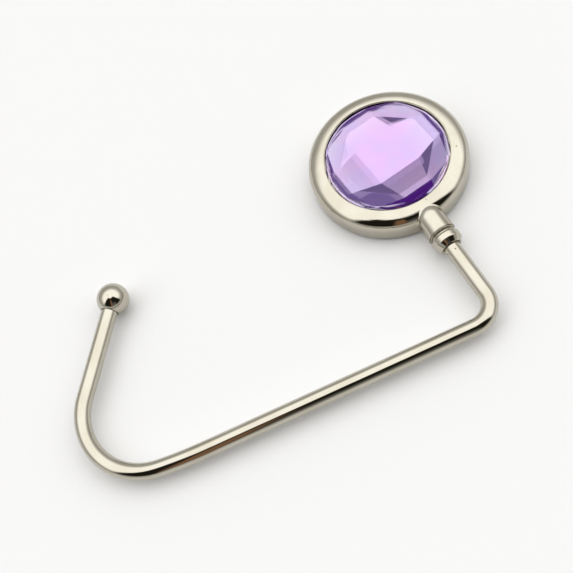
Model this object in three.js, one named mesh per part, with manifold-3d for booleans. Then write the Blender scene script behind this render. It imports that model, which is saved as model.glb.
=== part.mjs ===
// A purse hook: a cast head with a faceted stone on top and a rubber grip pad underneath,
// and a bent steel hook that swivels in the head's neck. Millimetres, +Z up.
// The origin is the middle of the grip pad's face, where the head stands on the table.
// +X runs along the neck, and the hook lies flat towards -Y, as it is carried in a bag.

import * as THREE from "three";
import { mergeVertices } from "three/addons/utils/BufferGeometryUtils.js";
import Module from "manifold-3d";

const wasm = await Module();
wasm.setup();

// Cast head
const bezelWidth = 4.4;
const headUndersideHeight = 0.4;
const headBottomRound = 0.6;
const shoulderRound = 2.8;
const bandRound = 5.5;
const lipHeight = 7.2;
const lipLand = 0.45;
const lipEdgeRound = 0.18;
const headFloorThickness = 1.6;

// Stone, a flat-backed acrylic cabochon with a chequerboard crown
const stoneRadius = 15.0;
const stoneClearance = 0.3;
const stoneGirdleDrop = 1.5;
const stoneGirdleBevel = 0.35;
const stoneTurn = THREE.MathUtils.degToRad(3.6);
const crownInnerLine = 6.0;
const crownOuterLine = 12.0;
const crownInnerTilt = THREE.MathUtils.degToRad(4);
const crownOuterTilt = THREE.MathUtils.degToRad(22);
const crownBowShare = 0.14;
const foilThickness = 0.15;
const foilMargin = 0.2;
const glueThickness = 0.2;

// Grip pad and its tape
const padInset = 3.1;
const padThickness = 1.15;
const padEdgeChamfer = 0.2;
const padClearance = 0.3;
const tapeThickness = 0.25;

// Neck of the head, where the hook swivels
const swivelHeight = 4.0;
const neckRadius = 3.45;
const neckRootRadius = 2.75;
const neckRootDepth = 2.5;
const neckLength = 4.9;
const neckEdgeRound = 0.25;
const neckBoreRadius = 2.85;
const neckBoreDepth = 6.7;

// Ferrule that closes the neck
const ferruleSpigotClearance = 0.05;
const ferruleSpigotLength = 3.2;
const ferruleNeckGap = 0.15;
const ferruleCollarRadius = 3.05;
const ferruleCollarLength = 0.7;
const ferruleBeadRadius = 3.5;
const ferruleBeadBackLength = 0.4;
const ferruleBeadLandLength = 1.5;
const ferruleBeadFrontLength = 1.15;
const ferruleBeadFrontRadius = 2.6;
const ferruleMouthChamfer = 0.15;

// Hook: a round steel bar, its two bends and its ball
const barRadius = 2.0;
const barBoreClearance = 0.3;
const shortArmReach = 42.2;
const nearBendRadius = 5.9;
const nearBendAngle = THREE.MathUtils.degToRad(96.9);
const longArmLength = 65.4;
const swayRadius = 115;
const swayAngle = THREE.MathUtils.degToRad(5.8);
const farBendRadius = 15.3;
const farBendAngle = THREE.MathUtils.degToRad(117.2);
const tipArmLength = 25.3;
const ballRadius = swivelHeight; // the ball touches the table when the hook lies flat
const ballHoleDepth = 3.2;
const ballHoleClearance = 0.15;
const barHeadRadius = 2.55;
const barHeadRound = 0.25;

// Swivel parts inside the neck
const waveWasherInnerRadius = 1.2;
const waveWasherThickness = 0.25;
const waveWasherSwing = 0.25;
const waveCount = 3;
const washerClearance = 0.1;
const thrustWasherThickness = 0.6;
const restGap = 0.05;
const endPlay = 0.2;

// How finely round forms are cut
const headSegments = 96;
const neckSegments = 48;
const barSides = 20;
const bendStep = THREE.MathUtils.degToRad(7.5);
const cutOverrun = 1.0;
const weldTolerance = 0.0001;

// Sizes that follow from the ones above
const seatRadius = stoneRadius + stoneClearance;
const headRadius = seatRadius + bezelWidth;
const padRadius = headRadius - padInset;
const padRecessTop = padThickness + tapeThickness;
const padRecessRadius = padRadius + padClearance;
const seatHeight = padRecessTop + headFloorThickness;
const lipRadius = seatRadius + lipLand;
const shoulderCentreRadius = headRadius - shoulderRound;
const bandTilt = Math.asin((shoulderCentreRadius - lipRadius) / (bandRound - shoulderRound));
const shoulderHeight = lipHeight - bandRound + (bandRound - shoulderRound) * Math.cos(bandTilt);
const foilBottom = seatHeight + glueThickness;
const stoneBottom = foilBottom + foilThickness;
const girdleTop = lipHeight - stoneGirdleDrop;
const neckRootX = headRadius - neckRootDepth;
const neckEndX = headRadius + neckLength;
const neckBoreEndX = neckEndX - neckBoreDepth;
const ferruleBoreRadius = barRadius + barBoreClearance;
const ferruleInnerX = neckEndX - ferruleSpigotLength;
const washerRadius = neckBoreRadius - washerClearance;
const waveWasherX = neckBoreEndX + restGap + waveWasherThickness / 2 + waveWasherSwing;
const barEndX = waveWasherX + waveWasherSwing + waveWasherThickness / 2 + endPlay;
const thrustWasherX = ferruleInnerX - restGap - thrustWasherThickness;
const barHeadFaceX = thrustWasherX - endPlay;

// Materials, with colours matched to the real finishes
const nickel = (name) =>
  new THREE.MeshStandardMaterial({ name, color: 0xc9c4b8, roughness: 0.12, metalness: 1 });
const acrylic = new THREE.MeshStandardMaterial({
  name: "violet_acrylic", color: 0xb79ae0, roughness: 0.03, metalness: 0,
});
const mirrorFoil = new THREE.MeshStandardMaterial({
  name: "mirror_foil", color: 0xe4e4e8, roughness: 0.05, metalness: 1,
});
const clearGlue = new THREE.MeshStandardMaterial({
  name: "clear_epoxy", color: 0xd9d4c2, roughness: 0.3, metalness: 0,
});
const foamTape = new THREE.MeshStandardMaterial({
  name: "foam_tape", color: 0xe6e6e2, roughness: 0.8, metalness: 0,
});
const rubber = new THREE.MeshStandardMaterial({
  name: "black_rubber", color: 0x1b1b1d, roughness: 0.85, metalness: 0,
});
const springSteel = new THREE.MeshStandardMaterial({
  name: "spring_steel", color: 0x8f9094, roughness: 0.35, metalness: 1,
});
const nylon = new THREE.MeshStandardMaterial({
  name: "white_nylon", color: 0xe9e7df, roughness: 0.5, metalness: 0,
});

// A closed geometry as a solid that can be cut and joined.
function solid(geometry) {
  const bare = geometry.index ? geometry.toNonIndexed() : geometry.clone();
  const shape = new THREE.BufferGeometry();
  shape.setAttribute("position", bare.getAttribute("position"));
  const merged = mergeVertices(shape, weldTolerance);
  return new wasm.Manifold(
    new wasm.Mesh({
      numProp: 3,
      vertProperties: new Float32Array(merged.attributes.position.array),
      triVerts: new Uint32Array(merged.index.array),
    }),
  );
}

// A cut or joined solid back as a geometry with flat shading.
function geometryOf(manifold) {
  const mesh = manifold.getMesh();
  const geometry = new THREE.BufferGeometry();
  geometry.setAttribute("position", new THREE.BufferAttribute(mesh.vertProperties, mesh.numProp));
  geometry.setIndex(new THREE.BufferAttribute(mesh.triVerts, 1));
  const flat = geometry.toNonIndexed();
  flat.computeVertexNormals();
  return flat;
}

// A named piece of the object.
function piece(name, geometry, material) {
  const mesh = new THREE.Mesh(geometry, material);
  mesh.name = name;
  return mesh;
}

// Points of an arc in a profile, from one angle to another about a centre.
function arcPoints(centreR, centreH, radius, from, to, steps) {
  const points = [];
  for (let i = 0; i <= steps; i++) {
    const angle = from + ((to - from) * i) / steps;
    points.push(
      new THREE.Vector2(centreR + radius * Math.cos(angle), centreH + radius * Math.sin(angle)),
    );
  }
  return points;
}

// A solid of revolution about +Z from a profile of (radius, height) points.
function turnedAboutZ(profile, segments) {
  return new THREE.LatheGeometry(profile, segments).rotateX(Math.PI / 2);
}

// A solid of revolution about the swivel axis from a profile of (radius, x) points.
function turnedAboutNeck(profile) {
  return turnedAboutZ(profile, neckSegments).rotateY(Math.PI / 2).translate(0, 0, swivelHeight);
}

// A plain disc or ring lying flat, from one height up to another.
function flatDisc(radius, bottom, top, chamfer = 0) {
  const profile = [
    new THREE.Vector2(0, bottom),
    new THREE.Vector2(radius - chamfer, bottom),
  ];
  if (chamfer > 0) profile.push(new THREE.Vector2(radius, bottom + chamfer));
  profile.push(new THREE.Vector2(radius, top), new THREE.Vector2(0, top));
  return turnedAboutZ(profile, headSegments);
}

// The head's outer profile: recess for the pad, upright wall, tight shoulder and a wider
// rounded band that runs level into the lip, then down the seat wall. Both rounds meet where
// the band has this tilt.
function headProfile() {
  return [
    new THREE.Vector2(0, padRecessTop),
    new THREE.Vector2(padRecessRadius, padRecessTop),
    new THREE.Vector2(padRecessRadius, headUndersideHeight),
    ...arcPoints(headRadius - headBottomRound, headUndersideHeight + headBottomRound,
      headBottomRound, -Math.PI / 2, 0, 4),
    ...arcPoints(shoulderCentreRadius, shoulderHeight, shoulderRound,
      0, Math.PI / 2 - bandTilt, 8),
    ...arcPoints(lipRadius, lipHeight - bandRound, bandRound,
      Math.PI / 2 - bandTilt, Math.PI / 2, 5).slice(1),
    ...arcPoints(seatRadius + lipEdgeRound, lipHeight - lipEdgeRound, lipEdgeRound,
      Math.PI / 2, Math.PI, 3),
    new THREE.Vector2(seatRadius, seatHeight),
    new THREE.Vector2(0, seatHeight),
  ];
}

// The cast head: the turned cup with its neck, bored from the end for the swivel.
function castHead() {
  const cup = solid(turnedAboutZ(headProfile(), headSegments));
  const neck = solid(turnedAboutNeck([
    new THREE.Vector2(0, neckRootX),
    new THREE.Vector2(neckRootRadius, neckRootX),
    new THREE.Vector2(neckRadius, headRadius),
    ...arcPoints(neckRadius - neckEdgeRound, neckEndX - neckEdgeRound, neckEdgeRound,
      0, Math.PI / 2, 3),
    new THREE.Vector2(0, neckEndX),
  ]));
  const bore = solid(turnedAboutNeck([
    new THREE.Vector2(0, neckBoreEndX),
    new THREE.Vector2(neckBoreRadius, neckBoreEndX),
    new THREE.Vector2(neckBoreRadius, neckEndX + cutOverrun),
    new THREE.Vector2(0, neckEndX + cutOverrun),
  ]));
  return geometryOf(cup.add(neck).subtract(bore));
}

// The crown's facets: a square grid of flat facets, steeper towards the girdle. The grid's
// lines bow inwards away from the middle. Each facet falls by its slopes along two
// perpendicular directions, measured from a point where it meets its inner neighbours.
function crownFacets() {
  const innerSlope = Math.tan(crownInnerTilt);
  const outerSlope = Math.tan(crownOuterTilt);
  const cornerSlope = innerSlope / (1 - crownBowShare);
  const acrossSlope = (innerSlope + crownBowShare * outerSlope) / (1 - crownBowShare ** 2);
  const alongSlope = outerSlope + crownBowShare * acrossSlope;
  const ringWidth = crownOuterLine - crownInnerLine;
  const bowedLine = crownInnerLine - crownBowShare * ringWidth;
  const ringDrop = innerSlope * ringWidth;
  const facets = [{ slopes: [0, 0], meets: [0, 0], drop: 0, turn: 0 }];
  for (let quarter = 0; quarter < 4; quarter++) {
    const turn = (quarter * Math.PI) / 2;
    facets.push(
      { slopes: [innerSlope, 0], meets: [crownInnerLine, 0], drop: 0, turn },
      { slopes: [outerSlope, 0], meets: [crownOuterLine, 0], drop: ringDrop, turn },
      { slopes: [cornerSlope, cornerSlope], meets: [crownInnerLine, crownInnerLine],
        drop: 0, turn },
      { slopes: [alongSlope, acrossSlope], meets: [crownOuterLine, bowedLine],
        drop: ringDrop, turn },
      { slopes: [alongSlope, -acrossSlope], meets: [crownOuterLine, -bowedLine],
        drop: ringDrop, turn },
    );
  }
  return facets;
}

// The faceted stone: a flat-backed disc whose crown is trimmed by one plane for each facet.
function stone() {
  const girdleDrop = Math.tan(crownInnerTilt) * (crownOuterLine - crownInnerLine)
    + Math.tan(crownOuterTilt) * (stoneRadius - crownOuterLine);
  const crownTop = girdleTop + girdleDrop;
  let shape = solid(turnedAboutZ([
    new THREE.Vector2(0, stoneBottom),
    new THREE.Vector2(stoneRadius - stoneGirdleBevel, stoneBottom),
    new THREE.Vector2(stoneRadius, stoneBottom + stoneGirdleBevel),
    new THREE.Vector2(stoneRadius, crownTop + cutOverrun),
    new THREE.Vector2(0, crownTop + cutOverrun),
  ], headSegments));
  for (const { slopes, meets, drop, turn } of crownFacets()) {
    const upright = new THREE.Vector3(slopes[0], slopes[1], 1);
    const length = upright.length();
    const offset = (crownTop - drop + slopes[0] * meets[0] + slopes[1] * meets[1]) / length;
    const inward = upright.divideScalar(-length).applyAxisAngle(new THREE.Vector3(0, 0, 1),
      turn + stoneTurn);
    shape = shape.trimByPlane(inward.toArray(), -offset);
  }
  return geometryOf(shape);
}

// The ferrule: a spigot in the neck, a collar and a bead with a coned front, bored for the bar.
function ferrule() {
  const spigotRadius = neckBoreRadius - ferruleSpigotClearance;
  const collarStart = neckEndX + ferruleNeckGap;
  const beadStart = collarStart + ferruleCollarLength;
  const landStart = beadStart + ferruleBeadBackLength;
  const landEnd = landStart + ferruleBeadLandLength;
  const beadEnd = landEnd + ferruleBeadFrontLength;
  return turnedAboutNeck([
    new THREE.Vector2(ferruleBoreRadius, ferruleInnerX),
    new THREE.Vector2(spigotRadius, ferruleInnerX),
    new THREE.Vector2(spigotRadius, collarStart),
    new THREE.Vector2(ferruleCollarRadius, collarStart),
    new THREE.Vector2(ferruleCollarRadius, beadStart),
    new THREE.Vector2(ferruleBeadRadius, landStart),
    new THREE.Vector2(ferruleBeadRadius, landEnd),
    new THREE.Vector2(ferruleBeadFrontRadius, beadEnd),
    new THREE.Vector2(ferruleBoreRadius + ferruleMouthChamfer, beadEnd),
    new THREE.Vector2(ferruleBoreRadius, beadEnd - ferruleMouthChamfer),
    new THREE.Vector2(ferruleBoreRadius, ferruleInnerX),
  ]);
}

// Stations along the bar's middle line: place, heading and radius. The bar lies in the flat
// plane at swivel height, runs out along +X and turns clockwise, seen from above.
function barStations() {
  const stations = [];
  let x = barEndX;
  let y = 0;
  let heading = 0;
  const station = (radius) => stations.push({ x, y, heading, radius });
  const straightTo = (length) => {
    x += length * Math.cos(heading);
    y += length * Math.sin(heading);
  };
  const bend = (radius, angle) => {
    const steps = Math.max(2, Math.round(angle / bendStep));
    const centreX = x + radius * Math.sin(heading);
    const centreY = y - radius * Math.cos(heading);
    const start = heading;
    for (let i = 1; i <= steps; i++) {
      heading = start - (angle * i) / steps;
      x = centreX - radius * Math.sin(heading);
      y = centreY + radius * Math.cos(heading);
      if (i < steps) station(barRadius);
    }
  };
  station(barHeadRadius - barHeadRound);
  straightTo(barHeadRound);
  station(barHeadRadius);
  straightTo(barHeadFaceX - x);
  station(barHeadRadius);
  station(barRadius);
  straightTo(shortArmReach - x);
  station(barRadius);
  bend(nearBendRadius, nearBendAngle);
  station(barRadius);
  straightTo(longArmLength);
  station(barRadius);
  bend(swayRadius, swayAngle);
  station(barRadius);
  bend(farBendRadius, farBendAngle);
  station(barRadius);
  straightTo(tipArmLength - ballRadius + ballHoleDepth - ballHoleClearance);
  station(barRadius);
  straightTo(ballRadius - ballHoleDepth + ballHoleClearance);
  return { stations, ball: { x, y, heading } };
}

// A round bar through the stations, closed at both ends.
function roundBar(stations) {
  const points = [];
  const index = [];
  for (const { x, y, heading, radius } of stations) {
    const side = new THREE.Vector3(-Math.sin(heading), Math.cos(heading), 0);
    for (let k = 0; k < barSides; k++) {
      const angle = (2 * Math.PI * k) / barSides;
      const reach = radius * Math.cos(angle);
      points.push(x + reach * side.x, y + reach * side.y, swivelHeight + radius * Math.sin(angle));
    }
  }
  for (let s = 1; s < stations.length; s++) {
    for (let k = 0; k < barSides; k++) {
      const next = (k + 1) % barSides;
      const a = (s - 1) * barSides + k;
      const b = (s - 1) * barSides + next;
      const c = s * barSides + k;
      const d = s * barSides + next;
      index.push(a, b, c, b, d, c);
    }
  }
  const last = (stations.length - 1) * barSides;
  for (let k = 1; k < barSides - 1; k++) {
    index.push(0, k + 1, k);
    index.push(last, last + k, last + k + 1);
  }
  const geometry = new THREE.BufferGeometry();
  geometry.setAttribute("position", new THREE.Float32BufferAttribute(points, 3));
  geometry.setIndex(index);
  geometry.computeVertexNormals();
  return geometry;
}

// The ball on the tip, drilled to take the end of the bar.
function ballTip(ball) {
  const holeRadius = barRadius + ballHoleClearance;
  const sphere = solid(new THREE.SphereGeometry(ballRadius, neckSegments, neckSegments / 2));
  const hole = solid(turnedAboutZ([
    new THREE.Vector2(0, ballRadius - ballHoleDepth),
    new THREE.Vector2(holeRadius, ballRadius - ballHoleDepth),
    new THREE.Vector2(holeRadius, ballRadius + cutOverrun),
    new THREE.Vector2(0, ballRadius + cutOverrun),
  ], neckSegments));
  const geometry = geometryOf(sphere.subtract(hole));
  const back = new THREE.Vector3(-Math.cos(ball.heading), -Math.sin(ball.heading), 0);
  geometry.applyQuaternion(
    new THREE.Quaternion().setFromUnitVectors(new THREE.Vector3(0, 0, 1), back));
  return geometry.translate(ball.x, ball.y, swivelHeight);
}

// The wave washer: a thin ring that rises and falls round its circle, to press on the bar.
function waveWasher() {
  const inner = waveWasherInnerRadius;
  const outer = washerRadius;
  const points = [];
  const index = [];
  for (let k = 0; k < neckSegments; k++) {
    const angle = (2 * Math.PI * k) / neckSegments;
    const middle = waveWasherX + waveWasherSwing * Math.cos(waveCount * angle);
    for (const [radius, offset] of [[inner, -1], [outer, -1], [outer, 1], [inner, 1]]) {
      points.push(middle + (offset * waveWasherThickness) / 2,
        radius * Math.cos(angle), swivelHeight + radius * Math.sin(angle));
    }
  }
  for (let k = 0; k < neckSegments; k++) {
    const here = 4 * k;
    const next = 4 * ((k + 1) % neckSegments);
    for (let side = 0; side < 4; side++) {
      const across = (side + 1) % 4;
      index.push(here + side, next + side, here + across);
      index.push(here + across, next + side, next + across);
    }
  }
  const geometry = new THREE.BufferGeometry();
  geometry.setAttribute("position", new THREE.Float32BufferAttribute(points, 3));
  geometry.setIndex(index);
  geometry.computeVertexNormals();
  return geometry;
}

// The thrust washer that the bar's head turns against.
function thrustWasher() {
  return turnedAboutNeck([
    new THREE.Vector2(ferruleBoreRadius, thrustWasherX),
    new THREE.Vector2(washerRadius, thrustWasherX),
    new THREE.Vector2(washerRadius, thrustWasherX + thrustWasherThickness),
    new THREE.Vector2(ferruleBoreRadius, thrustWasherX + thrustWasherThickness),
    new THREE.Vector2(ferruleBoreRadius, thrustWasherX),
  ]);
}

// Everything that stands on the table with the head.
function headGroup() {
  const group = new THREE.Group();
  group.add(
    piece("head_casting", castHead(), nickel("polished_nickel_casting")),
    piece("stone", stone(), acrylic),
    piece("stone_foil", flatDisc(stoneRadius - foilMargin, foilBottom, stoneBottom), mirrorFoil),
    piece("stone_adhesive", flatDisc(stoneRadius - foilMargin, seatHeight, foilBottom), clearGlue),
    piece("grip_pad", flatDisc(padRadius, 0, padThickness, padEdgeChamfer), rubber),
    piece("pad_tape", flatDisc(padRadius, padThickness, padRecessTop), foamTape),
    piece("swivel_ferrule", ferrule(), nickel("polished_nickel_turned")),
    piece("wave_washer", waveWasher(), springSteel),
    piece("thrust_washer", thrustWasher(), nylon),
  );
  return group;
}

// Everything that turns with the hook.
function hookGroup() {
  const group = new THREE.Group();
  const { stations, ball } = barStations();
  group.add(
    piece("hook_bar", roundBar(stations), nickel("polished_nickel_bar")),
    piece("ball_tip", ballTip(ball), nickel("polished_nickel_ball")),
  );
  return group;
}

const purseHook = new THREE.Group();
purseHook.add(headGroup(), hookGroup());

export default purseHook;
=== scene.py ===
"""The look of the purse hook: a nickel-plated head with a faceted violet stone, a rubber pad
underneath, and a bent bar that swivels in the head's neck."""

import math

import bmesh
import bpy
import numpy as np
from mathutils import Matrix, Vector


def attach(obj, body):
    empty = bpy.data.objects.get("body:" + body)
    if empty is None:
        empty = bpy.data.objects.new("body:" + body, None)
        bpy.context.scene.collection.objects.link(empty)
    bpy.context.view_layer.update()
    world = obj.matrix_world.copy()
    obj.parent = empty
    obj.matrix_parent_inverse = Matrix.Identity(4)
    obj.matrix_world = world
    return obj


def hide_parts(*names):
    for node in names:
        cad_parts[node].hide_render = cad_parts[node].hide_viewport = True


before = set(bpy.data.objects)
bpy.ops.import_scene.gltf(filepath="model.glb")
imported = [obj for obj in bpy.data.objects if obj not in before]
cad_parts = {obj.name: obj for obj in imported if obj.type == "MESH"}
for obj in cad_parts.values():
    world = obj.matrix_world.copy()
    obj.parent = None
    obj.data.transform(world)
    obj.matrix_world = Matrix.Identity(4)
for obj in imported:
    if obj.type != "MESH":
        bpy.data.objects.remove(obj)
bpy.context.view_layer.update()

MM = 0.001

# Sizes in millimetres, the same as the source's but for the stone: here its girdle stands
# higher, its outer facets are steeper, and its back is cut. The source's back is flat.
HEAD_RADIUS = 19.7
HEAD_BOTTOM = 0.4
HEAD_BOTTOM_ROUND = 0.6
SHOULDER_ROUND = 2.8
BAND_ROUND = 5.5
LIP_HEIGHT = 7.2
LIP_LAND = 0.45
LIP_EDGE_ROUND = 0.18
SEAT_RADIUS = 15.3
SEAT_HEIGHT = 3.0
PAD_RECESS_RADIUS = 16.9
PAD_RECESS_TOP = 1.4
PAD_RADIUS = 16.6
PAD_THICKNESS = 1.15
STONE_RADIUS = 15.0
GIRDLE_TOP = 6.55
GIRDLE_BEVEL = 0.15
STONE_TURN = math.radians(4.2)
CROWN_INNER_LINE = 6.06
CROWN_OUTER_LINE = 12.78
CROWN_INNER_TILT = math.radians(3.5)
CROWN_OUTER_TILT = math.radians(27.0)
CROWN_BOW_SHARE = 0.31
BACK_RING_RADIUS = 14.6
BACK_RIM_HEIGHT = 6.2
BACK_HEIGHT = 5.8
BACK_INNER_LINE = 5.55
BACK_OUTER_LINE = 12.7
BACK_INNER_TILT = math.radians(6.8)
BACK_OUTER_TILT = math.radians(12.6)
BACK_BOW_SHARE = 0.29
FOIL_RADIUS = 14.8
FOIL_THICKNESS = 0.15
FILM_OVERLAP = 0.004
FILM_TOP_DROP = 0.1
FILM_SIDE_GROWTH = 1.0004
SWIVEL_HEIGHT = 4.0
NECK_RADIUS = 3.45
NECK_ROOT_RADIUS = 2.75
NECK_ROOT_DEPTH = 2.5
NECK_END = 24.6
NECK_BORE_RADIUS = 2.85
NECK_BORE_END = 17.9
NECK_EDGE_ROUND = 0.25
NECK_FILLET = 0.3
FERRULE_INNER_END = 21.4
FERRULE_BORE_RADIUS = 2.3
FERRULE_SPIGOT_RADIUS = 2.8
COLLAR_START = 24.75
COLLAR_RADIUS = 3.05
BEAD_START = 25.45
BEAD_LAND_START = 25.85
BEAD_LAND_END = 27.35
BEAD_END = 28.5
BEAD_RADIUS = 3.5
BEAD_FRONT_RADIUS = 2.6
BAR_RADIUS = 2.0
BAR_END = 18.9
BAR_HEAD_RADIUS = 2.55
BAR_HEAD_FACE = 20.55
BAR_HEAD_ROUND = 0.25
SHORT_ARM_REACH = 42.2
NEAR_BEND = (5.9, math.radians(96.9))
LONG_ARM = 65.4
SWAY = (115.0, math.radians(5.8))
FAR_BEND = (15.3, math.radians(117.2))
TIP_ARM = 25.3
BALL_RADIUS = 4.0
BALL_HOLE_RADIUS = 2.15
BALL_HOLE_DEPTH = 3.2
BALL_HOLE_GAP = 0.15
BALL_HOLE_EASE = 0.02

# How much shorter buffing marks are stored than they are: round a piece, and along one.
RING_SQUEEZE = 0.12
LENGTH_SQUEEZE = 0.05

# How far blanks and tools reach past a cut, and how far the stone's two blanks lap.
OVERRUN = 1.0
BLANK_LAP = 0.05

# How finely the head is divided: its longest steps, and the half angle of the fine stretch
# round the neck.
OUTLINE_STEP = 0.14
NECK_STEP = 0.15
FINE_HALF_ANGLE = 0.32


# Meshes

def rounded(corners, step=0.12, closed=True):
    """A profile through corners (r, h, radius), each corner rounded, as dense points. Straight
    runs get a point close to each round, so that smooth shading stays flat on them."""
    count = len(corners)
    points = []
    for i, (r, h, radius) in enumerate(corners):
        here = Vector((r, h))
        if not closed and i in (0, count - 1) or radius == 0:
            points.append(here)
            continue
        back = (Vector(corners[i - 1][:2]) - here).normalized()
        ahead = (Vector(corners[(i + 1) % count][:2]) - here).normalized()
        half = back.angle(ahead) / 2
        reach = radius / math.tan(half)
        centre = here + (back + ahead).normalized() * (radius / math.sin(half))
        start = here + back * reach - centre
        sweep = math.pi - 2 * half
        turn = 1 if start.x * (ahead.y) - start.y * (ahead.x) > 0 else -1
        steps = max(4, math.ceil(sweep * radius / step))
        guard = min(0.04, radius / 4)
        points.append(centre + start + back * guard)
        for k in range(steps + 1):
            angle = turn * sweep * k / steps
            cos, sin = math.cos(angle), math.sin(angle)
            points.append(centre + Vector((start.x * cos - start.y * sin,
                                           start.x * sin + start.y * cos)))
        points.append(here + ahead * (reach + guard))
    return points


def refined(points, spacing, closed=True):
    """The same outline, with no straight run longer than spacing."""
    dense = []
    pairs = zip(points, points[1:] + points[:1]) if closed else zip(points, points[1:])
    for a, b in pairs:
        parts = max(1, math.ceil((b - a).length / spacing))
        dense.extend(a.lerp(b, k / parts) for k in range(parts))
    return dense if closed else dense + [points[-1]]


def turned(profile, angles, along_neck=False):
    """Vertices and faces of a closed outline (r, h) turned about +Z, or about the neck's
    axis. Points on the axis become one vertex each."""
    verts, faces, columns = [], [], []
    for point in profile:
        ring = []
        for k, angle in enumerate(angles):
            if abs(point[0]) < 1e-9 and k:
                ring.append(ring[0])
                continue
            r, h = point[0], point[1]
            spot = (r * math.cos(angle), r * math.sin(angle), h)
            if along_neck:
                spot = (h, r * math.cos(angle), SWIVEL_HEIGHT + r * math.sin(angle))
            ring.append(len(verts))
            verts.append(spot)
        columns.append(ring)
    rings = list(zip(columns, columns[1:] + columns[:1]))
    for lower, upper in rings:
        for k in range(len(angles)):
            after = (k + 1) % len(angles)
            face = [lower[k], lower[after], upper[after], upper[k]]
            face = list(dict.fromkeys(face))
            if len(face) > 2:
                faces.append(face)
    return verts, faces


def even_angles(count):
    return [2 * math.pi * k / count for k in range(count)]


def made(name, verts, faces, smooth=True):
    """A mesh object from millimetres, its faces turned outwards."""
    mesh = bpy.data.meshes.new(name)
    mesh.from_pydata([tuple(c * MM for c in v) for v in verts], [], faces)
    shape = bmesh.new()
    shape.from_mesh(mesh)
    bmesh.ops.recalc_face_normals(shape, faces=shape.faces)
    for face in shape.faces:
        face.smooth = smooth
    shape.to_mesh(mesh)
    shape.free()
    thing = bpy.data.objects.new(name, mesh)
    bpy.context.scene.collection.objects.link(thing)
    return thing


def cut_or_joined(target, tool, operation):
    """target with tool joined to it or cut out of it, and tool gone."""
    modifier = target.modifiers.new("boolean", "BOOLEAN")
    modifier.operation = operation
    modifier.solver = "EXACT"
    modifier.object = tool
    solved = bpy.data.meshes.new_from_object(
        target.evaluated_get(bpy.context.evaluated_depsgraph_get()))
    target.modifiers.clear()
    target.data = solved
    bpy.data.objects.remove(tool)


def lay_polish(piece, marks):
    """Stores where each vertex lies among the marks that buffing left, in millimetres. The
    marks are as long as they are wide there, so plain noise draws them at full length."""
    layer = piece.data.attributes.new("polish", "FLOAT_VECTOR", "POINT")
    layer.data.foreach_set("vector", (np.asarray(marks) * MM).astype(np.float32).ravel())


def vertex_places(mesh):
    places = np.empty(len(mesh.vertices) * 3)
    mesh.vertices.foreach_get("co", places)
    return places.reshape(-1, 3) / MM


def ring_marks(across, up, height, radius):
    """Marks that run round an axis: long round it, fine along the profile."""
    turn = np.arctan2(up, across)
    return np.stack([radius * RING_SQUEEZE * np.cos(turn), radius * RING_SQUEEZE * np.sin(turn),
                     height - np.hypot(across, up)], axis=1)


def finish_piece(piece, body, material, slot, *nodes):
    """Gives a piece its material and its body, and hides the CAD nodes that it stands for."""
    piece.data.materials.clear()
    piece.data.materials.append(material)
    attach(piece, body)
    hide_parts(*nodes)


def bezel_rounds():
    """The bezel's two rounds: the middles of the band's wide round and the shoulder's tight
    one (r, z), and the tilt at which the first runs into the second."""
    band = np.array([SEAT_RADIUS + LIP_LAND, LIP_HEIGHT - BAND_ROUND])
    across = HEAD_RADIUS - SHOULDER_ROUND - band[0]
    reach = BAND_ROUND - SHOULDER_ROUND
    tilt = math.asin(across / reach)
    return band, band + reach * np.array([math.sin(tilt), math.cos(tilt)]), tilt


def head_outline():
    """The head's outline: pad recess, wall, shoulder, band, lip and seat."""
    band, shoulder, tilt = bezel_rounds()
    wall = rounded([
        (0, PAD_RECESS_TOP, 0),
        (PAD_RECESS_RADIUS, PAD_RECESS_TOP, 0.1),
        (PAD_RECESS_RADIUS, HEAD_BOTTOM, 0.1),
        (HEAD_RADIUS, HEAD_BOTTOM, HEAD_BOTTOM_ROUND),
        (HEAD_RADIUS, float(shoulder[1]), 0),
    ], closed=False)
    bezel = [Vector(shoulder + SHOULDER_ROUND * np.array([math.sin(a), math.cos(a)]))
             for a in np.linspace(math.pi / 2, tilt, 26)[1:]]
    bezel += [Vector(band + BAND_ROUND * np.array([math.sin(a), math.cos(a)]))
              for a in np.linspace(tilt, 0, 24)[1:]]
    seat = rounded([
        (float(band[0]), LIP_HEIGHT, 0),
        (SEAT_RADIUS, LIP_HEIGHT, LIP_EDGE_ROUND),
        (SEAT_RADIUS, SEAT_HEIGHT, 0.1),
        (0, SEAT_HEIGHT, 0),
    ], closed=False)
    return wall + bezel + seat[1:]


def neck_radius_at(x):
    """The neck's radius: it swells from its root in the bezel to full size at the wall."""
    root = HEAD_RADIUS - NECK_ROOT_DEPTH
    share = np.clip((x - root) / NECK_ROOT_DEPTH, 0, 1)
    return NECK_ROOT_RADIUS + (NECK_RADIUS - NECK_ROOT_RADIUS) * np.sin(share * math.pi / 2)


def neck_outline():
    root = HEAD_RADIUS - NECK_ROOT_DEPTH
    swell = [Vector((float(neck_radius_at(x)), x))
             for x in np.linspace(root, HEAD_RADIUS, 24)]
    end = rounded([(NECK_RADIUS, HEAD_RADIUS + 0.1, 0), (NECK_RADIUS, NECK_END, NECK_EDGE_ROUND),
                   (0, NECK_END, 0)], closed=False)
    return [Vector((0, root))] + swell + refined(end, NECK_STEP, closed=False)


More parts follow.
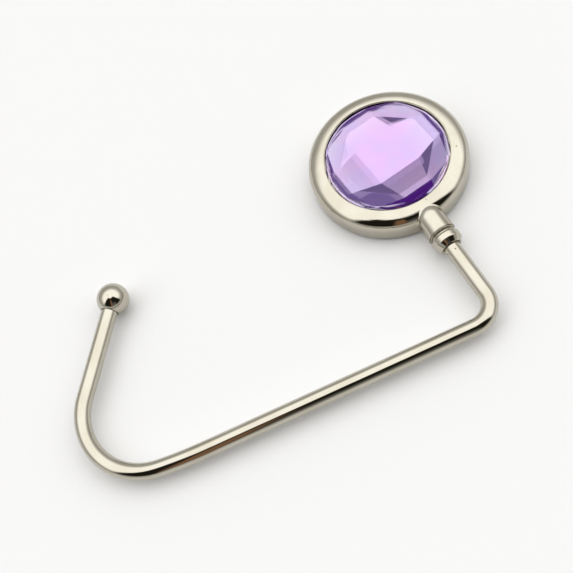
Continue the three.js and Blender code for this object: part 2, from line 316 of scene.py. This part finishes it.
def head_distance(p):
    """How far points lie outside the head's turned outline, near the neck: the underside,
    its round, the wall, the shoulder and the band."""
    r = np.hypot(p[:, 0], p[:, 1])
    z = p[:, 2]
    band, high, tilt = bezel_rounds()
    low = np.array([HEAD_RADIUS - HEAD_BOTTOM_ROUND, HEAD_BOTTOM + HEAD_BOTTOM_ROUND])
    distance = r - HEAD_RADIUS
    under = z < low[1]
    corner = np.hypot(np.maximum(r - low[0], 0), low[1] - z) - HEAD_BOTTOM_ROUND
    distance = np.where(under, corner, distance)
    across, up = r - high[0], z - high[1]
    lean = np.arctan2(across, up)
    shoulder = np.hypot(across, up) - SHOULDER_ROUND
    top = np.hypot(r - band[0], z - band[1]) - BAND_ROUND
    distance = np.where(up > 0, np.where(lean > tilt, shoulder, top), distance)
    return distance


def neck_distance(p):
    return np.hypot(p[:, 1], p[:, 2] - SWIVEL_HEIGHT) - neck_radius_at(p[:, 0])


def filleted_distance(p):
    """Distance outside the head and neck together, with a round fillet between them."""
    a, b = head_distance(p), neck_distance(p)
    u, v = np.maximum(NECK_FILLET - a, 0), np.maximum(NECK_FILLET - b, 0)
    return np.maximum(NECK_FILLET, np.minimum(a, b)) - np.hypot(u, v)


def gradient(field, p, step=0.002):
    parts = []
    for axis in range(3):
        shift = np.zeros(3)
        shift[axis] = step
        parts.append((field(p + shift) - field(p - shift)) / (2 * step))
    return np.stack(parts, axis=1)


def roll_fillet(mesh):
    """Moves the vertices along the line where head and neck meet onto the fillet, and gives
    them the fillet's normals."""
    reach = NECK_FILLET * 1.05
    surface_tolerance, passes, least_slope = 0.02, 14, 0.25
    places = vertex_places(mesh)
    a, b = head_distance(places), neck_distance(places)
    outside = np.minimum(a, b) > -surface_tolerance
    on_neck_side = places[:, 0] > HEAD_RADIUS / 2
    near_fillet = outside & (a < reach) & (b < reach) & on_neck_side
    spots = places[near_fillet]
    for _ in range(passes):
        slope = gradient(filleted_distance, spots)
        gap = filleted_distance(spots)[:, None]
        steepness = (slope ** 2).sum(1, keepdims=True)
        spots = spots - gap * slope / np.maximum(steepness, least_slope)
    places[near_fillet] = spots
    mesh.vertices.foreach_set("co", (places * MM).ravel())
    slope = gradient(filleted_distance, places)
    slope /= np.linalg.norm(slope, axis=1, keepdims=True)
    normals = np.where(near_fillet[:, None], slope, 0)
    for polygon in mesh.polygons:
        polygon.use_smooth = True
    mesh.normals_split_custom_set_from_vertices([tuple(n) for n in normals])


def cast_head(material):
    """The cast head: the turned cup and its neck in one, with a fillet rolled along the line
    where they meet, bored for the swivel."""
    near = np.linspace(-FINE_HALF_ANGLE, FINE_HALF_ANGLE, 128)
    far = np.linspace(FINE_HALF_ANGLE, 2 * math.pi - FINE_HALF_ANGLE, 200)[1:-1]
    outline = refined(head_outline(), OUTLINE_STEP)
    outline = [p for i, p in enumerate(outline) if p.x > 0 or i == 0 or outline[i - 1].x > 0]
    head = made("head", *turned(outline, list(near) + list(far)))
    neck = made("neck", *turned(neck_outline(), even_angles(144), along_neck=True))
    cut_or_joined(head, neck, "UNION")
    bore = rounded([(0, NECK_BORE_END, 0), (NECK_BORE_RADIUS, NECK_BORE_END, 0.1),
                    (NECK_BORE_RADIUS, NECK_END + OVERRUN, 0), (0, NECK_END + OVERRUN, 0)])
    cut_or_joined(head, made("bore", *turned(bore, even_angles(96), along_neck=True)),
                  "DIFFERENCE")
    roll_fillet(head.data)
    x, y, z = vertex_places(head.data).T
    wall_depth, neck_margin = 1.0, 0.25
    off_axis = np.hypot(y, z - SWIVEL_HEIGHT)
    on_neck = (x > HEAD_RADIUS - wall_depth) & (off_axis < NECK_RADIUS + neck_margin)
    lengthwise = np.stack([y, z - SWIVEL_HEIGHT, x * LENGTH_SQUEEZE], axis=1)
    lay_polish(head, np.where(on_neck[:, None], lengthwise,
                              ring_marks(x, y, z, HEAD_RADIUS)))
    head.name = head.data.name = "plated_head"
    finish_piece(head, "head", material, "head_plating", "head_casting")


def grid_facets(inner_line, outer_line, inner_tilt, outer_tilt, bow_share):
    """The flat facets of a square grid cut in a disc, each as slopes along and across, the
    point where it meets its inner neighbours, its drop there and its quarter turn."""
    inner, outer = math.tan(inner_tilt), math.tan(outer_tilt)
    corner = inner / (1 - bow_share)
    across = (inner + bow_share * outer) / (1 - bow_share ** 2)
    along = outer + bow_share * across
    ring = outer_line - inner_line
    bowed = inner_line - bow_share * ring
    facets = [((0, 0), (0, 0), 0, 0)]
    for quarter in range(4):
        turn = quarter * math.pi / 2
        facets += [
            ((inner, 0), (inner_line, 0), 0, turn),
            ((outer, 0), (outer_line, 0), inner * ring, turn),
            ((corner, corner), (inner_line, inner_line), 0, turn),
            ((along, across), (outer_line, bowed), inner * ring, turn),
            ((along, -across), (outer_line, -bowed), inner * ring, turn),
        ]
    return facets


def cut_facets(piece, facets, height, side):
    """Cuts a piece by one plane for each facet, from above (side 1) or from below (-1)."""
    shape = bmesh.new()
    shape.from_mesh(piece.data)
    for slopes, meets, drop, turn in facets:
        normal = Vector((slopes[0], slopes[1], side)).normalized()
        spot = Vector((meets[0], meets[1], height - side * drop))
        spin = Matrix.Rotation(turn + STONE_TURN, 3, "Z")
        normal, spot = spin @ normal, spin @ spot * MM
        parts = shape.verts[:] + shape.edges[:] + shape.faces[:]
        cut = bmesh.ops.bisect_plane(shape, geom=parts, plane_co=spot, plane_no=normal,
                                     clear_outer=True, dist=1e-7)
        rim = [e for e in cut["geom_cut"] if isinstance(e, bmesh.types.BMEdge)]
        if rim:
            bmesh.ops.contextual_create(shape, geom=rim)
    bmesh.ops.remove_doubles(shape, verts=shape.verts, dist=1e-7)
    bmesh.ops.recalc_face_normals(shape, faces=shape.faces)
    for face in shape.faces:
        face.smooth = False
    shape.to_mesh(piece.data)
    shape.free()


def cylinder(name, radius, low, high, hole=0.0, bevel=0.0):
    """A flat-shaded disc or ring between two heights, its lower outer edge bevelled."""
    outline = [(hole, low), (radius - bevel, low)]
    outline += [(radius, low + bevel)] if bevel else []
    outline += [(radius, high), (hole, high)]
    return made(name, *turned([Vector(c) for c in outline], even_angles(192)), smooth=False)


def cut_stone(material):
    """The stone: its crown is cut in facets. Its back has a flat rim, and inside a ring
    step a low grid of facets, which the crown shows again in its mirror."""
    top = (GIRDLE_TOP + math.tan(CROWN_INNER_TILT) * (CROWN_OUTER_LINE - CROWN_INNER_LINE)
           + math.tan(CROWN_OUTER_TILT) * (STONE_RADIUS - CROWN_OUTER_LINE))
    piece = cylinder("faceted_stone", STONE_RADIUS, BACK_RIM_HEIGHT, top + OVERRUN,
                     hole=BACK_RING_RADIUS - BLANK_LAP, bevel=GIRDLE_BEVEL)
    core = cylinder("stone_core", BACK_RING_RADIUS, SEAT_HEIGHT, top + 1.5 * OVERRUN)
    cut_facets(core, grid_facets(BACK_INNER_LINE, BACK_OUTER_LINE, BACK_INNER_TILT,
                                 BACK_OUTER_TILT, BACK_BOW_SHARE), BACK_HEIGHT, -1)
    cut_or_joined(piece, core, "UNION")
    cut_facets(piece, grid_facets(CROWN_INNER_LINE, CROWN_OUTER_LINE, CROWN_INNER_TILT,
                                  CROWN_OUTER_TILT, CROWN_BOW_SHARE), top, 1)
    finish_piece(piece, "head", material, "stone", "stone")
    return piece


def silver_back(stone, material):
    """The silvering on the stone's back and the resin that fills its steps: it stands a few
    microns into the stone, so that light inside the stone meets it first."""
    low = SEAT_HEIGHT + FOIL_THICKNESS
    piece = cylinder("silvered_film", FOIL_RADIUS, low, GIRDLE_TOP - FILM_TOP_DROP)
    cutter = stone.copy()
    cutter.data = stone.data.copy()
    bpy.context.scene.collection.objects.link(cutter)
    growth = (FILM_SIDE_GROWTH, FILM_SIDE_GROWTH, 1)
    places = vertex_places(cutter.data) * growth + (0, 0, FILM_OVERLAP)
    cutter.data.vertices.foreach_set("co", (places * MM).ravel())
    cut_or_joined(piece, cutter, "DIFFERENCE")
    finish_piece(piece, "head", material, "foil", "stone_foil")


def turned_piece(name, corners, body, material, slot, node, segments=160):
    """A turned disc. Its flat faces are shaded flat, so that they mirror without a bulge."""
    piece = made(name, *turned(rounded(corners), even_angles(segments)))
    for polygon in piece.data.polygons:
        polygon.use_smooth = abs(polygon.normal.z) < 0.9999
    finish_piece(piece, body, material, slot, node)
    return piece


def ferrule_outline():
    """The ferrule's outline: the spigot, the collar, and a bead with a coned front."""
    return rounded([
        (FERRULE_BORE_RADIUS, FERRULE_INNER_END, 0.05),
        (FERRULE_SPIGOT_RADIUS, FERRULE_INNER_END, 0.15),
        (FERRULE_SPIGOT_RADIUS, COLLAR_START, 0),
        (COLLAR_RADIUS, COLLAR_START, 0.08),
        (COLLAR_RADIUS, BEAD_START, 0.12),
        (BEAD_RADIUS, BEAD_LAND_START, 0.3),
        (BEAD_RADIUS, BEAD_LAND_END, 0.3),
        (BEAD_FRONT_RADIUS, BEAD_END, 0.1),
        (FERRULE_BORE_RADIUS, BEAD_END, 0.14),
        (FERRULE_BORE_RADIUS, FERRULE_INNER_END + 0.2, 0),
    ], closed=False)


def ferrule(material):
    piece = made("plated_ferrule", *turned(ferrule_outline(), even_angles(144), along_neck=True))
    x, y, z = vertex_places(piece.data).T
    lay_polish(piece, ring_marks(y, z - SWIVEL_HEIGHT, x, BEAD_RADIUS))
    finish_piece(piece, "head", material, "ferrule_plating", "swivel_ferrule")


def bar_route():
    """Stations along the bar's middle line as (x, y, heading, radius), and the ball's middle
    and heading."""
    stations = []
    x, y, heading = BAR_END, 0.0, 0.0

    def mark(radius=BAR_RADIUS):
        stations.append((x, y, heading, radius))

    def straight(length, parts):
        nonlocal x, y
        guard = 0.4 / length
        shares = [guard] + [k / parts for k in range(1, parts)] + [1 - guard, 1]
        start = (x, y)
        for share in shares:
            x = start[0] + length * share * math.cos(heading)
            y = start[1] + length * share * math.sin(heading)
            mark()

    def bend(radius, sweep, parts):
        nonlocal x, y, heading
        centre = (x + radius * math.sin(heading), y - radius * math.cos(heading))
        start = heading
        for k in range(1, parts + 1):
            heading = start - sweep * k / parts
            x = centre[0] - radius * math.sin(heading)
            y = centre[1] + radius * math.cos(heading)
            mark()

    round_steps = 6
    for k in range(round_steps + 1):
        angle = k / round_steps * math.pi / 2
        x = BAR_END + BAR_HEAD_ROUND * (1 - math.cos(angle))
        mark(BAR_HEAD_RADIUS - BAR_HEAD_ROUND * (1 - math.sin(angle)))
    x = BAR_HEAD_FACE
    mark(BAR_HEAD_RADIUS)
    mark()
    straight(SHORT_ARM_REACH - BAR_HEAD_FACE, 10)
    bend(*NEAR_BEND, 56)
    straight(LONG_ARM, 24)
    bend(*SWAY, 16)
    bend(*FAR_BEND, 90)
    to_middle = BALL_RADIUS - BALL_HOLE_DEPTH + BALL_HOLE_GAP
    straight(TIP_ARM - to_middle, 10)
    middle = (x + to_middle * math.cos(heading), y + to_middle * math.sin(heading), heading)
    return stations, middle


def bent_bar(material):
    """The bar: a round section carried along its middle line, with flat ends."""
    sides = 72
    stations, _ = bar_route()
    verts, faces, marks = [], [], []
    length, before = 0.0, stations[0]
    for x, y, heading, radius in stations:
        length += math.hypot(x - before[0], y - before[1])
        before = (x, y)
        for k in range(sides):
            angle = 2 * math.pi * k / sides
            reach = radius * math.cos(angle)
            verts.append((x - reach * math.sin(heading), y + reach * math.cos(heading),
                          SWIVEL_HEIGHT + radius * math.sin(angle)))
            marks.append((reach, radius * math.sin(angle), length * LENGTH_SQUEEZE))
    for s in range(len(stations) - 1):
        for k in range(sides):
            after = (k + 1) % sides
            faces.append((s * sides + k, s * sides + after,
                          (s + 1) * sides + after, (s + 1) * sides + k))
    for start in (0, (len(stations) - 1) * sides):
        faces.append(tuple(range(start, start + sides)))
    piece = made("plated_bar", verts, faces)
    lay_polish(piece, marks)
    finish_piece(piece, "hook", material, "bar_plating", "hook_bar")


def ball(material):
    """The ball on the tip, its hole's edge slightly rounded where the bar goes in."""
    _, (x, y, heading) = bar_route()
    mouth, mouth_ease = math.asin(BALL_HOLE_RADIUS / BALL_RADIUS), 0.03
    ease = BALL_HOLE_EASE
    outline = [Vector((BALL_RADIUS * math.sin(a), BALL_RADIUS * math.cos(a)))
               for a in np.linspace(mouth + mouth_ease, math.pi, 72)]
    outline[-1] = Vector((0, -BALL_RADIUS))
    depth = BALL_RADIUS - BALL_HOLE_DEPTH
    rim = BALL_RADIUS * math.cos(mouth)
    outline += [Vector((0, depth)), Vector((BALL_HOLE_RADIUS - ease, depth)),
                Vector((BALL_HOLE_RADIUS, depth + ease)),
                Vector((BALL_HOLE_RADIUS, rim - 5 * ease)),
                Vector((BALL_HOLE_RADIUS + ease, rim - 2.5 * ease))]
    verts, faces = turned(outline, even_angles(96))
    tilt = Matrix.Rotation(heading, 3, "Z") @ Matrix.Rotation(-math.pi / 2, 3, "Y")
    verts = [tilt @ Vector(v) + Vector((x, y, SWIVEL_HEIGHT)) for v in verts]
    piece = made("plated_ball", verts, faces)
    lay_polish(piece, vertex_places(piece.data))
    finish_piece(piece, "hook", material, "bar_plating", "ball_tip")


# Materials

def colour(hex_code, alpha=1.0):
    """An sRGB hex value as linear red, green, blue and alpha."""
    parts = [int(hex_code[i:i + 2], 16) / 255 for i in (1, 3, 5)]
    linear = [c / 12.92 if c <= 0.04045 else ((c + 0.055) / 1.055) ** 2.4 for c in parts]
    return (*linear, alpha)


def add(tree, kind, inputs=None, **settings):
    """Adds a node with its settings. An input is a value or another node's output."""
    node = tree.nodes.new(kind)
    for key, value in settings.items():
        setattr(node, key, value)
    for key, value in (inputs or {}).items():
        if isinstance(value, bpy.types.NodeSocket):
            tree.links.new(value, node.inputs[key])
        else:
            node.inputs[key].default_value = value
    return node


def new_material(name):
    material = bpy.data.materials.new(name)
    material.use_nodes = True
    material.node_tree.nodes.clear()
    return material, material.node_tree


def object_place(tree):
    return add(tree, "ShaderNodeTexCoord").outputs["Object"]


def show(tree, shader):
    """Makes a shader the material's surface."""
    add(tree, "ShaderNodeOutputMaterial", {"Surface": shader.outputs[0]})


def per_mm(size):
    """The scale of a pattern whose features are this many millimetres apart."""
    return 1 / (size * MM)


def noise(tree, vector, size, detail=2.0, roughness=0.5):
    return add(tree, "ShaderNodeTexNoise", {
        "Vector": vector, "Scale": per_mm(size), "Detail": detail,
        "Roughness": roughness}).outputs["Fac"]


def ramp(tree, value, low, high, to_low=0.0, to_high=1.0):
    return add(tree, "ShaderNodeMapRange", {
        "Value": value, "From Min": low, "From Max": high, "To Min": to_low,
        "To Max": to_high}, interpolation_type="SMOOTHSTEP").outputs["Result"]


def blend(tree, share, first, second):
    """A mix of two colours, each a hex value, a linear colour or another node's output."""
    node = add(tree, "ShaderNodeMix", {"Factor": share}, data_type="RGBA")
    for socket, value in ((node.inputs["A"], first), (node.inputs["B"], second)):
        if isinstance(value, bpy.types.NodeSocket):
            tree.links.new(value, socket)
        else:
            socket.default_value = colour(value) if isinstance(value, str) else value
    return node.outputs["Result"]


def maths(tree, kind, a, b=0.0):
    return add(tree, "ShaderNodeMath", {0: a, 1: b}, operation=kind).outputs[0]


def bumps(tree, height, depth_mm, under=None):
    """A bump of this depth for a height from 0 to 1, over another bump if one is given."""
    inputs = {"Height": height, "Distance": depth_mm * MM, "Strength": 1.0}
    if under is not None:
        inputs["Normal"] = under
    return add(tree, "ShaderNodeBump", inputs).outputs["Normal"]


def plated_nickel(name, buffing=1.0):
    """Bright nickel plating on a buffed casting or wire: a warm grey mirror. Long soft buffing
    waves and finer streaks bend its reflections, hairlines haze them, and a few pits show the
    base."""
    material, tree = new_material(name)
    place = object_place(tree)
    polish = add(tree, "ShaderNodeAttribute", attribute_name="polish").outputs["Vector"]
    waves = noise(tree, polish, 1.6, detail=1.0)
    streaks = noise(tree, polish, 0.5, detail=2.0)
    hairlines = noise(tree, polish, 0.22, detail=3.0, roughness=0.6)
    haze = noise(tree, place, 7.0, detail=3.0)
    dents = add(tree, "ShaderNodeTexVoronoi", {
        "Vector": place, "Scale": per_mm(1.9)}).outputs["Distance"]
    clusters = ramp(tree, noise(tree, place, 9.0, detail=2.0), 0.56, 0.68)
    pits = maths(tree, "MULTIPLY", ramp(tree, dents, 0.13, 0.05), clusters)
    tone = blend(tree, ramp(tree, haze, 0.35, 0.7), "#bdb8ab", "#b6b0a1")
    tone = blend(tree, pits, tone, "#57503f")
    rough = maths(tree, "ADD", ramp(tree, hairlines, 0.35, 0.8, 0.035, 0.11),
                  maths(tree, "MULTIPLY", pits, 0.35))
    normal = bumps(tree, waves, 0.010 * buffing)
    normal = bumps(tree, streaks, 0.005 * buffing, normal)
    normal = bumps(tree, hairlines, 0.0008, normal)
    normal = bumps(tree, maths(tree, "SUBTRACT", 1.0, pits), 0.008, normal)
    surface = add(tree, "ShaderNodeBsdfPrincipled", {
        "Base Color": tone, "Metallic": 1.0, "Roughness": rough, "Normal": normal})
    show(tree, surface)
    return material


def moulded_acrylic(name):
    """Moulded acrylic, clear violet through its depth, with a violet haze in its skin. Its
    facets are mirror-smooth, with the faint sink of a moulding, and a few hairlines."""
    material, tree = new_material(name)
    place = object_place(tree)
    sink = noise(tree, place, 6.0, detail=1.0)
    hairlines = noise(tree, place, 0.3, detail=3.0)
    surface = add(tree, "ShaderNodeBsdfPrincipled", {
        "Base Color": colour("#ffffff"), "IOR": 1.6, "Transmission Weight": 1.0,
        "Roughness": ramp(tree, hairlines, 0.55, 0.8, 0.0, 0.03),
        "Normal": bumps(tree, sink, 0.012)})
    body = add(tree, "ShaderNodeVolumeAbsorption", {
        "Color": colour("#cd42f8"), "Density": 90.0})
    haze_share = 0.15
    haze = add(tree, "ShaderNodeBsdfDiffuse", {"Color": colour("#9b49ea")})
    both = add(tree, "ShaderNodeMixShader", {
        0: haze_share, 1: surface.outputs["BSDF"], 2: haze.outputs["BSDF"]})
    add(tree, "ShaderNodeOutputMaterial", {
        "Surface": both.outputs["Shader"], "Volume": body.outputs["Volume"]})
    return material


def mirror_foil(name):
    """Silvered film on the stone's back: a bright mirror, a little uneven where the glue
    pulls at it, with warm and cool casts."""
    material, tree = new_material(name)
    place = object_place(tree)
    pull = noise(tree, place, 5.0, detail=2.0)
    cast = noise(tree, place, 8.0, detail=2.0)
    tone = blend(tree, ramp(tree, cast, 0.35, 0.65), "#ddcfd4", "#d2cfda")
    surface = add(tree, "ShaderNodeBsdfPrincipled", {
        "Base Color": tone, "Metallic": 1.0, "Roughness": 0.02,
        "Normal": bumps(tree, pull, 0.006)})
    show(tree, surface)
    return material


def moulded_rubber(name):
    """Black nitrile rubber, moulded: matt, with a fine stippled grain and pale dust in it."""
    material, tree = new_material(name)
    place = object_place(tree)
    grain = noise(tree, place, 0.35, detail=3.0, roughness=0.6)
    dust = noise(tree, place, 6.0, detail=4.0)
    tone = blend(tree, ramp(tree, grain, 0.35, 0.7), "#161617", "#232325")
    tone = blend(tree, ramp(tree, dust, 0.55, 0.8, 0.0, 0.5), tone, "#4a4846")
    surface = add(tree, "ShaderNodeBsdfPrincipled", {
        "Base Color": tone, "IOR": 1.52,
        "Roughness": ramp(tree, grain, 0.3, 0.7, 0.9, 0.65),
        "Normal": bumps(tree, grain, 0.06)})
    show(tree, surface)
    return material


def foam_tape(name):
    """White double-sided foam tape: soft closed cells, with a slightly tacky film."""
    material, tree = new_material(name)
    place = object_place(tree)
    cells = add(tree, "ShaderNodeTexVoronoi", {
        "Vector": place, "Scale": per_mm(0.4)}).outputs["Distance"]
    tone = blend(tree, ramp(tree, cells, 0.1, 0.6), "#e3e2dc", "#cfcec6")
    surface = add(tree, "ShaderNodeBsdfPrincipled", {
        "Base Color": tone, "IOR": 1.48, "Roughness": ramp(tree, cells, 0.1, 0.6, 0.7, 0.5),
        "Normal": bumps(tree, cells, 0.05)})
    show(tree, surface)
    return material


def clear_epoxy(name):
    """Clear epoxy glue, spread thin: glossy amber-clear, with small bubbles."""
    material, tree = new_material(name)
    place = object_place(tree)
    bubbles = add(tree, "ShaderNodeTexVoronoi", {
        "Vector": place, "Scale": per_mm(1.3)}).outputs["Distance"]
    spread = noise(tree, place, 4.0, detail=2.0)
    tone = blend(tree, ramp(tree, bubbles, 0.2, 0.08), "#cfc6a6", "#efeadb")
    surface = add(tree, "ShaderNodeBsdfPrincipled", {
        "Base Color": tone, "IOR": 1.55, "Roughness": 0.12, "Transmission Weight": 0.35,
        "Normal": bumps(tree, spread, 0.03)})
    show(tree, surface)
    return material


def spring_steel(name):
    """Hardened spring steel, stamped: blue-grey, with rolling lines and a light oil film."""
    material, tree = new_material(name)
    place = object_place(tree)
    lengthwise = add(tree, "ShaderNodeVectorMath", {0: place, 1: (1.0, 0.06, 1.0)},
                     operation="MULTIPLY").outputs["Vector"]
    lines = noise(tree, lengthwise, 0.15, detail=3.0)
    tone = blend(tree, ramp(tree, lines, 0.35, 0.65), "#8d8f93", "#77797f")
    surface = add(tree, "ShaderNodeBsdfPrincipled", {
        "Base Color": tone, "Metallic": 1.0,
        "Roughness": ramp(tree, lines, 0.3, 0.7, 0.25, 0.42),
        "Normal": bumps(tree, lines, 0.004)})
    show(tree, surface)
    return material


def moulded_nylon(name):
    """Natural nylon, moulded: off-white, slightly translucent, with a satin face."""
    material, tree = new_material(name)
    place = object_place(tree)
    satin = noise(tree, place, 0.25, detail=3.0)
    tone = blend(tree, ramp(tree, satin, 0.35, 0.7), "#e8e5da", "#dad6c8")
    surface = add(tree, "ShaderNodeBsdfPrincipled", {
        "Base Color": tone, "IOR": 1.53, "Roughness": ramp(tree, satin, 0.3, 0.7, 0.35, 0.5),
        "Subsurface Weight": 0.15, "Subsurface Scale": 0.5 * MM,
        "Normal": bumps(tree, satin, 0.006)})
    show(tree, surface)
    return material


def refinish(node, material):
    """A hidden piece that keeps its CAD shape gets its real finish."""
    thing = bpy.data.objects[node]
    for slot in thing.material_slots:
        slot.material = material


nickel = plated_nickel("nickel_plating")
cast_head(plated_nickel("hand_buffed_nickel", 2.5))
stone = cut_stone(moulded_acrylic("violet_acrylic"))
silver_back(stone, mirror_foil("mirror_film"))
ferrule(nickel)
bent_bar(nickel)
ball(nickel)
turned_piece("rubber_pad", [
    (0, 0, 0), (PAD_RADIUS, 0, 0.25), (PAD_RADIUS, PAD_THICKNESS, 0.08), (0, PAD_THICKNESS, 0),
], "head", moulded_rubber("grip_rubber"), "grip_rubber", "grip_pad")

refinish("pad_tape", foam_tape("foam_tape"))
refinish("stone_adhesive", clear_epoxy("clear_epoxy"))
refinish("wave_washer", spring_steel("spring_steel"))
refinish("thrust_washer", moulded_nylon("natural_nylon"))


# Stage: a white floor, a light tent and the photograph's camera.

TENT = (1.85, 1.85, 1.84, 1)
BACKDROP = (0.62, 0.62, 0.6, 1)
HORIZON = (0.48, 0.47, 0.44, 1)
DARK_ROOM = (0.02, 0.017, 0.013, 1)
PALE_STRIP = (0.25, 0.25, 0.24, 1)
BROWN_STRIP = (0.3, 0.17, 0.1, 1)

# Where the room's parts begin and end, in degrees, each edge a soft one from its first value
# to its second. Turns run from +Y towards +X, rises upwards from the floor.
HORIZON_RISE = (0, 8)
TENT_EDGE_RISE = (12, 40)
TENT_EDGE_LIFT = 15
OPENING_TURNS = ((33, 45), (172, 160))
OPENING_RISES = ((8, 20), (78, 70))
PALE_TURNS = ((70, 85), (112, 100))
PALE_TOP_RISE = (50, 10)
BROWN_TURNS = ((102, 108), (122, 114))
BROWN_TOP_RISE = (68, 55)
FLOOR_REACH = 3000
FLOOR_GLOW = 0.06


def floor():
    """White paper under the object. It glows a little where it is seen, not where it lights."""
    reach = FLOOR_REACH
    piece = made("floor", [(-reach, -reach, 0), (reach, -reach, 0), (reach, reach, 0),
                           (-reach, reach, 0)], [(0, 1, 2, 3)], smooth=False)
    material, tree = new_material("white_paper")
    fibres = noise(tree, object_place(tree), 0.8, detail=3.0)
    surface = add(tree, "ShaderNodeBsdfPrincipled", {
        "Base Color": blend(tree, fibres, "#eeeeee", "#f1f1f1"), "Roughness": 0.9,
        "Specular IOR Level": 0.2})
    rays = add(tree, "ShaderNodeLightPath").outputs
    seen = maths(tree, "MAXIMUM", rays["Is Camera Ray"], maths(
        tree, "MAXIMUM", rays["Is Glossy Ray"], rays["Is Transmission Ray"]))
    glow = add(tree, "ShaderNodeEmission", {
        "Strength": maths(tree, "MULTIPLY", seen, FLOOR_GLOW)})
    show(tree, add(tree, "ShaderNodeAddShader", {
        0: surface.outputs["BSDF"], 1: glow.outputs["Emission"]}))
    piece.data.materials.append(material)


def camera():
    """The photograph's camera, as its outline fixes it."""
    azimuth, elevation, roll = 1.492, 1.099, -0.466
    distance, target = 222.919, Vector((15.394, -37.329, 4.0))
    back = Vector((math.sin(azimuth) * math.cos(elevation),
                   -math.cos(azimuth) * math.cos(elevation), math.sin(elevation)))
    right = (-back).cross(Vector((0, 0, 1))).normalized()
    up = right.cross(-back)
    across = math.cos(roll) * right + math.sin(roll) * up
    upright = -math.sin(roll) * right + math.cos(roll) * up
    view = bpy.data.cameras.new("photo_camera")
    view.sensor_width = 36.0
    view.lens = 59.29
    view.clip_start, view.clip_end = 0.01, 20
    thing = bpy.data.objects.new("photo_camera", view)
    bpy.context.scene.collection.objects.link(thing)
    thing.matrix_world = Matrix.Translation((target + back * distance) * MM) @ Matrix((
        across, upright, back)).transposed().to_4x4()
    bpy.context.scene.camera = thing


def studio():
    """The room's light: a bright tent on three sides and overhead, its lower edge highest
    behind the head, and a dark opening on the camera's side with a pale strip low down and a
    brown one beside it."""
    world = bpy.data.worlds.new("studio")
    world.use_nodes = True
    tree = world.node_tree
    tree.nodes.clear()
    place = add(tree, "ShaderNodeTexCoord").outputs["Generated"]
    parts = add(tree, "ShaderNodeSeparateXYZ", {"Vector": place}).outputs

    def times(first, *others):
        for other in others:
            first = maths(tree, "MULTIPLY", first, other)
        return first

    def past(value, edge):
        return ramp(tree, value, math.radians(edge[0]), math.radians(edge[1]))

    def within(value, edges):
        return times(past(value, edges[0]), past(value, edges[1]))

    turn = maths(tree, "ARCTAN2", parts["X"], parts["Y"])
    rise = maths(tree, "ARCSINE", parts["Z"])
    behind = maths(tree, "MAXIMUM", times(maths(tree, "SINE", turn), -1.0), 0.0)
    above_edge = maths(tree, "SUBTRACT", rise, times(behind, math.radians(TENT_EDGE_LIFT)))
    opening = times(within(turn, OPENING_TURNS), within(rise, OPENING_RISES))
    pale = times(within(turn, PALE_TURNS), past(rise, PALE_TOP_RISE))
    brown = times(within(turn, BROWN_TURNS), past(rise, BROWN_TOP_RISE))
    room = blend(tree, brown, blend(tree, pale, DARK_ROOM, PALE_STRIP), BROWN_STRIP)
    low = blend(tree, past(rise, HORIZON_RISE), HORIZON, BACKDROP)
    tent = blend(tree, past(above_edge, TENT_EDGE_RISE), low, TENT)
    light = blend(tree, opening, tent, room)
    background = add(tree, "ShaderNodeBackground", {"Color": light})
    add(tree, "ShaderNodeOutputWorld", {"Surface": background.outputs["Background"]})
    bpy.context.scene.world = world


floor()
studio()
camera()
bpy.context.scene.view_settings.view_transform = "Standard"
